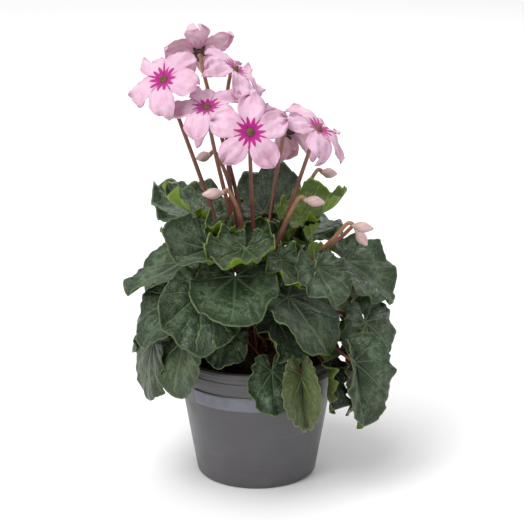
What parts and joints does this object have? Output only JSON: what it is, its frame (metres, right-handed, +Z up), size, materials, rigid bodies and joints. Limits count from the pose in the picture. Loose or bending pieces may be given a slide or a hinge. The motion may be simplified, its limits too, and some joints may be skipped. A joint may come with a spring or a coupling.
{
  "type": "potted cyclamen",
  "caption": "Small flowering plant with a dome of heart-shaped leaves and upright pink blooms on bare stalks, in a round tapered nursery pot.",
  "frame": {"origin": "centre of the pot's underside", "axes": "+Z up along the pot's axis, -Y towards the plant's front, where the label is"},
  "size_m": [0.1938, 0.1828, 0.319],
  "materials": {
    "pot": "satin",
    "label": "satin",
    "soil": "matte",
    "tuber": "matte",
    "leaf": "satin",
    "leaf_old": "satin",
    "stalk": "satin",
    "petal": "satin",
    "bud": "satin"
  },
  "bodies": {
    "root": {"pot": "pot", "label": "label", "soil": "soil", "tuber": "tuber", "leaf_01": "leaf", "leaf_02": "leaf", "leaf_03": "leaf", "leaf_04": "leaf", "leaf_05": "leaf", "leaf_06": "leaf", "leaf_07": "leaf", "leaf_08": "leaf", "leaf_09": "leaf", "leaf_10": "leaf", "leaf_11": "leaf", "leaf_12": "leaf", "leaf_13": "leaf", "leaf_14": "leaf", "leaf_15": "leaf", "leaf_16": "leaf", "leaf_17": "leaf", "leaf_18": "leaf", "leaf_19": "leaf", "leaf_20": "leaf", "leaf_21": "leaf", "leaf_22": "leaf", "leaf_23": "leaf", "leaf_24": "leaf", "leaf_25": "leaf", "leaf_26": "leaf_old", "leaf_27": "leaf_old", "leaf_28": "leaf_old", "leaf_29": "leaf_old", "leaf_30": "leaf_old", "leaf_31": "leaf_old", "leaf_32": "leaf_old", "leaf_33": "leaf_old", "leaf_34": "leaf_old", "flower_stalk_front": "stalk", "flower_stalk_right": "stalk", "flower_stalk_left": "stalk", "flower_stalk_back_right": "stalk", "flower_stalk_back_left": "stalk", "flower_stalk_top": "stalk", "flower_stalk_far_left": "stalk", "corolla_front": "petal", "corolla_right": "petal", "corolla_left": "petal", "corolla_back_right": "petal", "corolla_back_left": "petal", "corolla_top": "petal", "corolla_far_left": "petal", "bud_front_left": "bud", "bud_front_right": "bud", "bud_right_upper": "bud", "bud_right_lower": "bud", "bud_back": "bud", "bud_back_right": "bud"}
  },
  "joints": []
}
